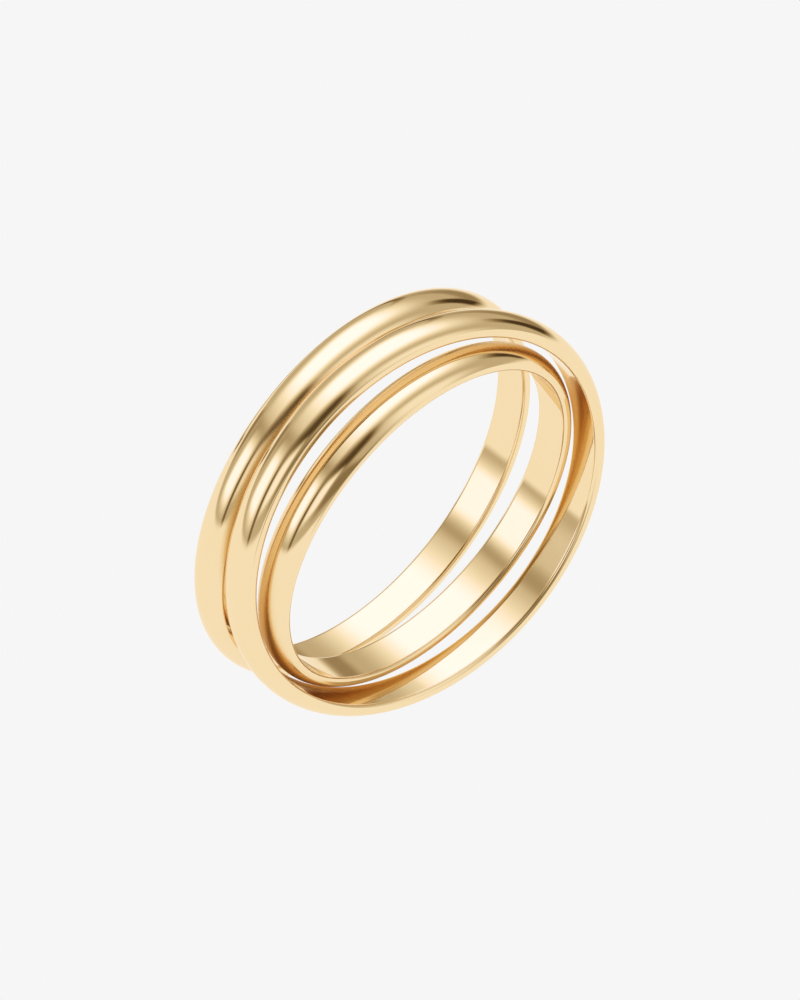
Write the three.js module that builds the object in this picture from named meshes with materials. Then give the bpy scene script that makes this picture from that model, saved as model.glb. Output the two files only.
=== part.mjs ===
import * as THREE from 'three';

// Sizes in millimetres and angles in degrees. The stack lies on its side: the back band is flat
// on the surface, the crossing band leans on it, and the front band is nested in the crossing band.

// The bands have one kind of section: flat inside, domed outside, with narrow flat sides
const bandWidth = 1.91;
const backThickness = 0.87;
const crossingThickness = 0.93;
const frontThickness = 0.85;
const innerEdgeRadius = 0.2;
const outerEdgeRadius = 0.12;
const domeHeight = 0.35;

// Finger side of each band
const frontInnerDiameter = 17.3;
const nestingClearance = 0.245;
const crossingInnerDiameter = frontInnerDiameter + 2 * (frontThickness + nestingClearance);
const backInnerDiameter = 19.26;

// How the bands lie: the lean of a band is the angle of its axis from upright, and its heading
// is the compass side that the top of the axis leans to, counted from +X towards +Y
const seatClearance = 0.05;
const crossingLeanAngle = 10.83;
const crossingHeadingAngle = -79.4;
const crossingShiftX = -0.309;
const crossingShiftY = -0.704;
const frontLeanAngle = 2.86;
const frontHeadingAngle = 20.5;
const frontShiftX = 0.067;
const frontShiftY = 0.324;
const frontDrop = 0.254;

// Fineness of the curves
const stepsRound = 90;
const stepsInnerEdge = 3;
const stepsOuterEdge = 2;
const stepsDome = 8;

const yellowGold = new THREE.MeshStandardMaterial({
  name: 'yellow_gold',
  color: new THREE.Color(0.98, 0.83, 0.56),
  metalness: 1.0,
  roughness: 0.08,
});

// Points of an arc in the section, x away from the finger and y along it, end point left out
function arc(centreX, centreY, radius, fromDegrees, toDegrees, steps) {
  return Array.from({ length: steps }, (_, i) => {
    const angle = THREE.MathUtils.degToRad(fromDegrees + (toDegrees - fromDegrees) * i / steps);
    return new THREE.Vector2(centreX + radius * Math.cos(angle), centreY + radius * Math.sin(angle));
  });
}

// Closed outline of a band's section: inner edge, side, outer edge, dome, and the same back down.
// The dome is the one arc that is tangent to both outer edges and reaches the band's thickness,
// and the flat side takes what the edges and the dome leave of the thickness.
function bandSection(innerRadius, thickness) {
  const halfWidth = bandWidth / 2;
  const innerEdgeX = innerRadius + innerEdgeRadius;
  const innerEdgeY = halfWidth - innerEdgeRadius;
  const outerEdgeY = halfWidth - outerEdgeRadius;
  const crown = innerRadius + thickness;
  const outerEdgeX = crown - domeHeight - outerEdgeRadius;
  const halfDome = 2 * Math.atan(domeHeight / outerEdgeY);
  const domeRadius = outerEdgeY / Math.sin(halfDome) + outerEdgeRadius;
  const domeEnd = THREE.MathUtils.radToDeg(halfDome);
  const outline = [
    ...arc(innerEdgeX, -innerEdgeY, innerEdgeRadius, 180, 270, stepsInnerEdge),
    new THREE.Vector2(innerEdgeX, -halfWidth),
    ...arc(outerEdgeX, -outerEdgeY, outerEdgeRadius, -90, -domeEnd, stepsOuterEdge),
    ...arc(crown - domeRadius, 0, domeRadius, -domeEnd, domeEnd, stepsDome),
    ...arc(outerEdgeX, outerEdgeY, outerEdgeRadius, domeEnd, 90, stepsOuterEdge),
    new THREE.Vector2(outerEdgeX, halfWidth),
    ...arc(innerEdgeX, innerEdgeY, innerEdgeRadius, 90, 180, stepsInnerEdge),
    new THREE.Vector2(innerRadius, innerEdgeY),
  ];
  return [...outline, outline[0].clone()];
}

// A whole band round the upright axis, its middle at the origin
function band(name, innerDiameter, thickness) {
  const shape = new THREE.LatheGeometry(bandSection(innerDiameter / 2, thickness), stepsRound);
  shape.rotateX(Math.PI / 2);
  const mesh = new THREE.Mesh(shape, yellowGold);
  mesh.name = name;
  return mesh;
}

// Tips a band so that its axis leans to a heading
function lean(mesh, degrees, heading) {
  const towards = THREE.MathUtils.degToRad(heading);
  const hinge = new THREE.Vector3(-Math.sin(towards), Math.cos(towards), 0);
  mesh.quaternion.setFromAxisAngle(hinge, THREE.MathUtils.degToRad(degrees));
}

// Height of the back band's upper side at a distance from its axis, or of the surface beside it
function backTopAt(distance) {
  const outline = bandSection(backInnerDiameter / 2, backThickness);
  let top = 0;
  for (let i = 1; i < outline.length; i++) {
    const [p, q] = [outline[i - 1], outline[i]];
    const share = (distance - p.x) / (q.x - p.x);
    if (share >= 0 && share <= 1) top = Math.max(top, bandWidth / 2 + p.y + share * (q.y - p.y));
  }
  return top;
}

// Height at which a leaning band's middle comes to rest on the back band
function restingHeight(mesh) {
  mesh.updateMatrixWorld(true);
  const points = mesh.geometry.getAttribute('position');
  let height = -Infinity;
  for (let i = 0; i < points.count; i++) {
    const point = new THREE.Vector3().fromBufferAttribute(points, i).applyMatrix4(mesh.matrixWorld);
    height = Math.max(height, backTopAt(Math.hypot(point.x, point.y)) + seatClearance - point.z);
  }
  return height;
}

const backBand = band('back_band', backInnerDiameter, backThickness);
backBand.position.z = bandWidth / 2;

// The crossing band comes down until it is just clear of the back band
const crossingBand = band('crossing_band', crossingInnerDiameter, crossingThickness);
lean(crossingBand, crossingLeanAngle, crossingHeadingAngle);
crossingBand.position.set(crossingShiftX, crossingShiftY, 0);
crossingBand.position.z = restingHeight(crossingBand);

const frontBand = band('front_band', frontInnerDiameter, frontThickness);
lean(frontBand, frontLeanAngle, frontHeadingAngle);
frontBand.position.set(crossingShiftX + frontShiftX, crossingShiftY + frontShiftY, 0);
frontBand.position.z = Math.max(crossingBand.position.z - frontDrop, restingHeight(frontBand));

const stack = new THREE.Group();
stack.add(backBand, crossingBand, frontBand);

// The origin is under the middle of the stack, on the surface that it lies on
const extent = new THREE.Box3().setFromObject(stack, true);
const middle = extent.getCenter(new THREE.Vector3());
stack.position.set(-middle.x, -middle.y, -extent.min.z);

export default stack;
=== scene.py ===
import math

import bpy
import numpy as np
from mathutils import Matrix, Vector


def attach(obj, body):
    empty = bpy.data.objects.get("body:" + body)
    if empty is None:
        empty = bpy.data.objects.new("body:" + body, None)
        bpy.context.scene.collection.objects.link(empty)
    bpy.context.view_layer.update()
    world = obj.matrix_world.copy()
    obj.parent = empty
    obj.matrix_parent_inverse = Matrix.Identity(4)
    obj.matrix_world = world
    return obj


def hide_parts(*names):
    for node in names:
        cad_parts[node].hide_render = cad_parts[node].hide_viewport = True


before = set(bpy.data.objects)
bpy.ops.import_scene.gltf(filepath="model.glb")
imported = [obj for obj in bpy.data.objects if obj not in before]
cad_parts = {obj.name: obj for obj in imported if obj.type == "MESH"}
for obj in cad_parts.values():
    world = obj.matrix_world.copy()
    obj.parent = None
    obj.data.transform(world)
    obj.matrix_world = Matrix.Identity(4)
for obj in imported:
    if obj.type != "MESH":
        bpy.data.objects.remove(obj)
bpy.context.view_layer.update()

scene = bpy.context.scene
mm = 0.001   # the sizes of the bands are in millimetres, and Blender's are in metres

# Camera: it looks down on the stack from the front and is rolled, so that the bands stand on a slant
camera = {
    "aim": (-0.134, -0.548, 3.452),
    "distance": 187.01,
    "elevation": 30.07,
    "roll": 126.61,
    "lens": 144.0,
    "clip": (0.01, 20),   # metres
}


def makeCamera(size):
    elevation, roll = math.radians(size["elevation"]), math.radians(size["roll"])
    back = Vector((0, -math.cos(elevation), math.sin(elevation)))
    level, upright = Vector((1, 0, 0)), Vector((0, math.sin(elevation), math.cos(elevation)))
    right = math.cos(roll) * level + math.sin(roll) * upright
    turn = Matrix((right, back.cross(right), back)).transposed()
    data = bpy.data.cameras.new("photoCamera")
    data.lens = size["lens"]
    data.clip_start, data.clip_end = size["clip"]
    cam = bpy.data.objects.new("photoCamera", data)
    cam.matrix_world = turn.to_4x4()
    cam.location = (Vector(size["aim"]) + size["distance"] * back) * mm
    scene.collection.objects.link(cam)
    scene.camera = cam
    print("camera at", [round(v, 4) for v in cam.location])


makeCamera(camera)
scene.view_settings.view_transform = "Standard"   # plain colours: the pale floor stays as pale as it is set


# Shader maths: a Wire is one output socket, and sums and products of wires add their Math nodes
class Wire:
    def __init__(self, tree, socket=None):
        self.tree, self.socket = tree, socket

    def node(self, kind, settings=None, inputs=None, output=0):
        made = self.tree.nodes.new(kind)
        for key, value in (settings or {}).items():
            setattr(made, key, value)
        for key, value in (inputs or {}).items():
            if isinstance(value, Wire):
                self.tree.links.new(value.socket, made.inputs[key])
            else:
                made.inputs[key].default_value = value
        return Wire(self.tree, made.outputs[output]) if len(made.outputs) else made

    def math(self, operation, *values):
        return self.node("ShaderNodeMath", {"operation": operation}, dict(enumerate(values)))

    def __add__(self, other): return self.math("ADD", self, other)
    def __radd__(self, other): return self.math("ADD", other, self)
    def __sub__(self, other): return self.math("SUBTRACT", self, other)
    def __rsub__(self, other): return self.math("SUBTRACT", other, self)
    def __mul__(self, other): return self.math("MULTIPLY", self, other)
    def __rmul__(self, other): return self.math("MULTIPLY", other, self)
    def __truediv__(self, other): return self.math("DIVIDE", self, other)
    def __rtruediv__(self, other): return self.math("DIVIDE", other, self)
    def __pow__(self, other): return self.math("POWER", self, other)
    def __rpow__(self, other): return self.math("POWER", other, self)

    def other(self, output):
        return Wire(self.tree, self.socket.node.outputs[output])

    def value(self, number):
        made = self.node("ShaderNodeValue")
        made.socket.default_value = number
        return made

    def attribute(self, name, output):
        return self.node("ShaderNodeAttribute", {"attribute_name": name}, output=output)

    def mix(self, share, *ends):
        # Inputs 6 and 7 and output 2 are the colour ones
        first, second = (end if isinstance(end, Wire) else (*end, 1) for end in ends)
        return self.node("ShaderNodeMix", {"data_type": "RGBA"}, {0: share, 6: first, 7: second}, output=2)

    def noise(self, vector, scale, detail):
        return self.node("ShaderNodeTexNoise", {}, {"Vector": vector, "Scale": scale, "Detail": detail})

    def step(self, low, high):
        # 0 at low and 1 at high, smooth between
        return self.node("ShaderNodeMapRange", {"interpolation_type": "SMOOTHSTEP"}, {
            "Value": self, "From Min": low, "From Max": high})


# Polished yellow gold: a mirror with fine polishing lines round the band, a slight waviness and tint drift,
# a little more wear on the edges and in dull spots, and painted shade in the narrow gaps: a deeper
# orange-brown, rougher and less metallic there
gold = {
    "colour": (0.92, 0.75, 0.48),
    "driftColour": (0.91, 0.725, 0.445),
    # Painted shade: the colour the gold turns to deep in the gaps between the bands
    "gapShadeColour": (0.80, 0.485, 0.15),
    "edgeTint": (0.98, 0.93, 0.85),
    "metallic": 0.97,
    "gapMetallic": 0.85,
    "roughness": 0.035,
    "wornRoughness": 0.022,   # added in the dull spots and on the edges, in the two shares below
    "spotShare": 0.6,
    "edgeShare": 0.4,
    "lineRoughness": 0.02,
    "gapRoughness": 0.38,
    "driftSize": 2.6,         # millimetres from one soft spot of tint to the next
    "spotsToDrift": 3.4,      # dull spots to one of those
    "driftDetail": 2,
    "spotDetail": 3,
    "lineDetail": 4,
    "waveDepth": 0.008,
    "lineDepth": 0.0006,
    "flatLineShare": 0.5,     # depth of the lines away from the edges, where 1 is as deep as on them
}


def makeGold(look):
    material = bpy.data.materials.new("polishedYellowGold")
    material.use_nodes = True
    tree = material.node_tree
    tree.nodes.clear()
    start = Wire(tree)
    gap = start.attribute("gap", "Fac")           # 1 deep between two bands
    edge = start.attribute("edge", "Fac")         # 1 on the edges, and 0 on the flats and the crown
    lines = start.attribute("lines", "Vector")    # stretched round the band
    place = start.node("ShaderNodeTexCoord", output="Object")
    driftScale = 1 / (look["driftSize"] * mm)
    drift = start.noise(place, driftScale, look["driftDetail"])
    spots = start.noise(place, driftScale * look["spotsToDrift"], look["spotDetail"])
    hair = start.noise(lines, 1.0, look["lineDetail"])
    # Painted shade: the gold turns a deeper orange-brown with the gap depth, standing in for the shade and
    # the gold's dim reflections of itself between the bands
    colour = start.mix(gap, start.mix(drift, look["colour"], look["driftColour"]), look["gapShadeColour"])
    worn = spots * look["spotShare"] + edge * look["edgeShare"]
    rough = worn * look["wornRoughness"] + hair * look["lineRoughness"] + look["roughness"]
    rough = rough + gap * (look["gapRoughness"] - rough)
    lineHeight = hair * (edge * (1 - look["flatLineShare"]) + look["flatLineShare"])
    waves = start.node("ShaderNodeBump", {}, {"Distance": look["waveDepth"] * mm, "Height": drift})
    fine = start.node("ShaderNodeBump", {}, {
        "Distance": look["lineDepth"] * mm, "Height": lineHeight, "Normal": waves})
    shader = start.node("ShaderNodeBsdfPrincipled", {}, {
        "Base Color": colour,
        "Specular Tint": (*look["edgeTint"], 1),
        "Metallic": gap * (look["gapMetallic"] - look["metallic"]) + look["metallic"],
        "Roughness": rough,
        "Normal": fine})
    start.node("ShaderNodeOutputMaterial", {}, {"Surface": shader})
    print("gold material with", len(tree.nodes), "nodes")
    return material


goldMaterial = makeGold(gold)

# One kind of section for all the bands. The inside, crown and width of each are read from its CAD band
section = {
    "innerEdge": 0.2,
    "outerEdge": 0.18,
    "domeHeight": 0.35,
    "flatPoints": 4,
    "edgePoints": 7,
    "domePoints": 28,
    "stepsRound": 720,
    "fullShade": 0.2,      # nearer than this to another band, the painted shade is full
    "shadePower": 1.3,    # above 1 the painted shade keeps closer to the gap
    "lineTurns": 2.2,    # polishing lines: patches to a radian, and millimetres from line to line
    "linePitch": 0.11,
}


def bandPlace(node):
    # Centre = mean of the vertices; axis = the direction in which they spread least
    points = np.array([v.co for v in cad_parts[node].data.vertices]) / mm
    points = np.unique(points.round(5), axis=0)
    centre = points.mean(0)
    axis = np.linalg.svd(points - centre, full_matrices=False)[2][2]
    axis = axis if axis[2] > 0 else -axis
    along = (points - centre) @ axis
    radius = np.linalg.norm(points - centre - along[:, None] * axis, axis=1)
    return centre, axis, radius.min(), radius.max(), np.abs(along).max()


def arcPoints(middleAlong, middleOut, radius, first, last, count):
    # Along = middle + radius * sin(turn), out = middle + radius * cos(turn), as (along, out, normal's turn)
    turn = np.radians(np.linspace(first, last, count))
    return np.column_stack([middleAlong + radius * np.sin(turn), middleOut + radius * np.cos(turn), turn])


def bandOutline(size, inner, crown, halfWidth):
    # Half of the section: flat, inner turn, narrow side, outer turn and dome. The dome is the arc that
    # touches both outer turns: half of it = 2 * atan(dome height / where the outer turn's middle lies)
    edge, outer = size["innerEdge"], size["outerEdge"]
    outerOut = crown - size["domeHeight"] - outer
    outerAlong = halfWidth - outer
    halfDome = 2 * math.degrees(math.atan(size["domeHeight"] / outerAlong))
    domeRadius = outerAlong / math.sin(math.radians(halfDome)) + outer
    flat = np.linspace(0, halfWidth - edge, size["flatPoints"])
    right = np.vstack([
        np.column_stack([flat, np.full_like(flat, inner), np.full_like(flat, math.pi)]),
        arcPoints(halfWidth - edge, inner + edge, edge, 180, 90, size["edgePoints"])[1:],
        arcPoints(outerAlong, outerOut, outer, 90, halfDome, size["edgePoints"]),
        arcPoints(0, crown - domeRadius, domeRadius, halfDome, 0, size["domePoints"])[1:],
    ])
    left = right[-2:0:-1] * (-1, 1, -1)
    return np.vstack([right, left])


def gapDepth(points, shadeFrom):
    # How deep a point is between bands, 0 to 1. Another band's section is laid in the plane through the point
    # and that band's axis, and the distance is the least one to the points of the section's outline.
    # Share = (where it starts - distance) / (where it starts - where the shade is full), smoothed;
    # depth = share ^ power, and the deeper of the two other bands counts. The depth sets the painted shade in
    # the gaps
    depth = np.zeros(len(points))
    for node, distance in shadeFrom.items():
        centre, axis, inner, crown, halfWidth = bandPlace(node)
        outline = bandOutline(section, inner, crown, halfWidth)
        along = (points - centre) @ axis
        out = np.linalg.norm(points - centre - along[:, None] * axis, axis=1)
        nearest = np.hypot(along[:, None] - outline[:, 0], out[:, None] - outline[:, 1]).min(1)
        share = np.clip((distance - nearest) / (distance - section["fullShade"]), 0, 1)
        depth = np.maximum(depth, (share * share * (3 - 2 * share)) ** section["shadePower"])
    return depth


def setAttribute(mesh, name, kind, field, values):
    mesh.attributes.new(name, kind, "POINT").data.foreach_set(field, np.ravel(values))


def makeBand(name, size, material):
    centre, axis, inner, crown, halfWidth = bandPlace(size["node"])
    # A point = centre + axis * along + (side * cos(turn) + across * sin(turn)) * out
    side = np.cross(axis, (0, 1, 0))
    side /= np.linalg.norm(side)
    across = np.cross(axis, side)
    turn = np.linspace(0, 2 * math.pi, section["stepsRound"], endpoint=False)[:, None]
    spoke = np.cos(turn) * side + np.sin(turn) * across
    along, out, lean = bandOutline(section, inner, crown, halfWidth).T
    points = centre + along[None, :, None] * axis + out[None, :, None] * spoke[:, None, :]
    normals = np.sin(lean)[None, :, None] * axis + np.cos(lean)[None, :, None] * spoke[:, None, :]
    steps, count = points.shape[:2]
    points = points.reshape(-1, 3)
    index = np.arange(steps * count).reshape(steps, count)
    nextRound, nextAlong = np.roll(index, -1, 0), np.roll(index, -1, 1)
    faces = np.stack([index, nextAlong, np.roll(nextRound, -1, 1), nextRound], -1).reshape(-1, 4)
    mesh = bpy.data.meshes.new(name)
    mesh.from_pydata((points * mm).tolist(), [], faces.tolist())
    mesh.polygons.foreach_set("use_smooth", np.ones(len(faces), bool))
    mesh.normals_split_custom_set_from_vertices(normals.reshape(-1, 3).tolist())
    # Gap depth, 0 to 1: where the shade between the bands is painted on, and the gold is rougher and less
    # metallic
    setAttribute(mesh, "gap", "FLOAT", "value", gapDepth(points, size["shadeFrom"]))
    # Wear = sin(2 * lean)^2, which is 1 where the normal stands half way between crown, side and flat
    setAttribute(mesh, "edge", "FLOAT", "value", np.tile(np.sin(2 * lean) ** 2, steps))
    # Lines follow the band: long steps round it, and short steps along the section's outline, walked
    # from both ends, so that it closes without a seam
    walk = np.concatenate([[0], np.cumsum(np.hypot(np.diff(along), np.diff(out)))])
    walk = np.minimum(walk, walk[-1] - walk)
    lines = np.broadcast_arrays(
        np.cos(turn) * section["lineTurns"], np.sin(turn) * section["lineTurns"],
        walk[None, :] / section["linePitch"])
    setAttribute(mesh, "lines", "FLOAT_VECTOR", "vector", np.stack(lines, -1))
    mesh.materials.append(material)
    band = bpy.data.objects.new(name, mesh)
    scene.collection.objects.link(band)
    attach(band, "root")
    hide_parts(size["node"])
    print(name, "inner", round(inner, 3), "crown", round(crown, 3), "half width", round(halfWidth, 3),
          "centre", centre.round(3), "axis", axis.round(4), "faces", len(faces))


# The three bands, with the distance from each other band at which the painted shade in the gaps starts
backBand = {"node": "back_band", "shadeFrom": {"crossing_band": 0.55, "front_band": 0.55}}
crossingBand = {"node": "crossing_band", "shadeFrom": {"back_band": 0.55, "front_band": 0.32}}
frontBand = {"node": "front_band", "shadeFrom": {"back_band": 0.95, "crossing_band": 0.95}}

makeBand("backBand", backBand, goldMaterial)
makeBand("crossingBand", crossingBand, goldMaterial)
makeBand("frontBand", frontBand, goldMaterial)

# Floor: one pale disc. The bands reflect the studio and no floor, so it is hidden from reflections
floorDisc = {
    "radius": 2,          # metres
    "sides": 96,
    "paleness": 0.9216,
}


def makeFloor(size):
    # A point of the rim = radius * (cos(turn), sin(turn), 0)
    turn = np.linspace(0, 2 * math.pi, size["sides"], endpoint=False)
    rim = np.column_stack([size["radius"] * np.cos(turn), size["radius"] * np.sin(turn), 0 * turn])
    mesh = bpy.data.meshes.new("paleFloor")
    mesh.from_pydata(rim.tolist(), [], [list(range(size["sides"]))])
    floor = bpy.data.objects.new("paleFloor", mesh)
    scene.collection.objects.link(floor)
    paper = bpy.data.materials.new("palePaper")
    paper.use_nodes = True
    paper.node_tree.nodes.clear()
    start = Wire(paper.node_tree)
    pale = (size["paleness"],) * 3
    glow = start.node("ShaderNodeEmission", {}, {"Color": (*pale, 1), "Strength": 1.0})
    start.node("ShaderNodeOutputMaterial", {}, {"Surface": glow})
    mesh.materials.append(paper)
    floor.visible_glossy = False
    print("floor", 2 * size["radius"], "m across")


makeFloor(floorDisc)

# Soft studio light round the stack. Azimuth is counted from straight behind the stack, 90 on the right,
# 180 on the camera's side and 270 on the left, and elevation from level upwards, both in degrees
studio = {
    "farLevel": 1.01,
    "nearLevel": 0.58,
    "rightEdge": (121.5, 0.09, 3),   # where the bright far side ends: azimuth, slant, half of the blur
    "leftEdge": (313, -0.3, 5),
    "greenPower": 1.2,               # dimmer light is warmer: green and blue are powers of the level
    "bluePower": 1.6,
    "tint": (1.0, 0.98, 0.93),
    "squareness": 4,                 # shape of the panels: 2 is oval, and 4 has round corners
    # Azimuth, half width, elevation, half height, slant, blur and level, each laid over the ones before
    "panels": {
        "floorShade": (150, 28, -82, 15, 0, 0.35, 0.3),
        "rightGrey": (168, 8, -20, 45, 0, 0.5, 0.42),
        "rightTop": (161, 19, 60, 24, 0.3, 0.4, 0.26),
        "leftShade": (308, 9, -18, 24, 0.1, 0.6, 0.34),
        "cameraGap": (186.5, 17, 20.5, 20, 0.15, 0.42, 0.08),
        "leftGap": (305, 22, 2.5, 7, 0.1, 0.42, 0.05),
        "leftBox": (227.5, 41.5, -25, 35, -0.1, 0.48, 1.3),
        "leftHighBox": (245, 33, 45, 15, 0.1, 0.6, 1.03),
        "topBox": (278, 38, 68, 14, 0, 0.6, 1.0),
        "topShade": (168, 58, 85, 17, 0, 0.25, 0.2),
        "rightHighBox": (154, 14, 22, 11.5, 0.5, 0.42, 1.1),
        "rightLowBox": (147, 18, -25, 20.5, 0, 0.45, 1.25),
        "rightSlit": (137, 26, 4, 4, 0.1, 0.45, 0.18),
    },
    # Laid over the bright far side
    "farPanels": {
        "lowBackLine": (350, 8, -62, 18, -3.2, 0.5, 0.13),
        "overheadShade": (40, 75, 83, 15, 0, 0.4, 0.42),
    },
}


def makeStudio(look):
    world = bpy.data.worlds.new("softStudio")
    scene.world = world
    world.use_nodes = True
    tree = world.node_tree
    tree.nodes.clear()
    start = Wire(tree)
    # Azimuth = atan2(x, y) and elevation = asin(z) of the direction that the light comes from
    x = start.node("ShaderNodeSeparateXYZ", {}, {"Vector": start.node("ShaderNodeTexCoord")})
    y, z = x.other(1), x.other(2)
    azimuth = start.math("WRAP", start.math("ARCTAN2", x, y) * math.degrees(1), 360.0, 0.0)
    elevation = start.math("ARCSINE", z) * math.degrees(1)

    def edge(place, slant, blur):
        middle = elevation * slant + place
        return (azimuth - middle).step(-blur, blur)

    def lay(level, panels):
        # Distance from the panel's middle = (across^n + up^n)^(1/n), which is 1 at its rim
        power = look["squareness"]
        for place, halfWidth, height, halfHeight, slant, blur, strength in panels.values():
            rise = elevation - height
            turn = start.math("WRAP", azimuth - rise * slant - place, 180.0, -180.0)
            across, up = turn / halfWidth, rise / halfHeight
            away = (across ** power + up ** power) ** (1 / power)
            level = level + away.step(1 + blur, 1 - blur) * (strength - level)
        return level

    level = lay(start.value(look["nearLevel"]), look["panels"])
    far = 1 - edge(*look["rightEdge"]) + edge(*look["leftEdge"])
    level = lay(level + far * (look["farLevel"] - level), look["farPanels"])
    red, green, blue = look["tint"]
    whiter = start.math("MAXIMUM", level, 1.0)   # above 1 the light turns from warm to white
    colour = start.node("ShaderNodeCombineColor", {}, {
        "Red": level * red,
        "Green": level ** look["greenPower"] * green,
        "Blue": level ** look["bluePower"] * whiter * blue})
    background = start.node("ShaderNodeBackground", {}, {"Color": colour, "Strength": 1.0})
    start.node("ShaderNodeOutputWorld", {}, {"Surface": background})
    print("studio light with", len(look["panels"]) + len(look["farPanels"]), "panels and",
          len(tree.nodes), "nodes")


makeStudio(studio)
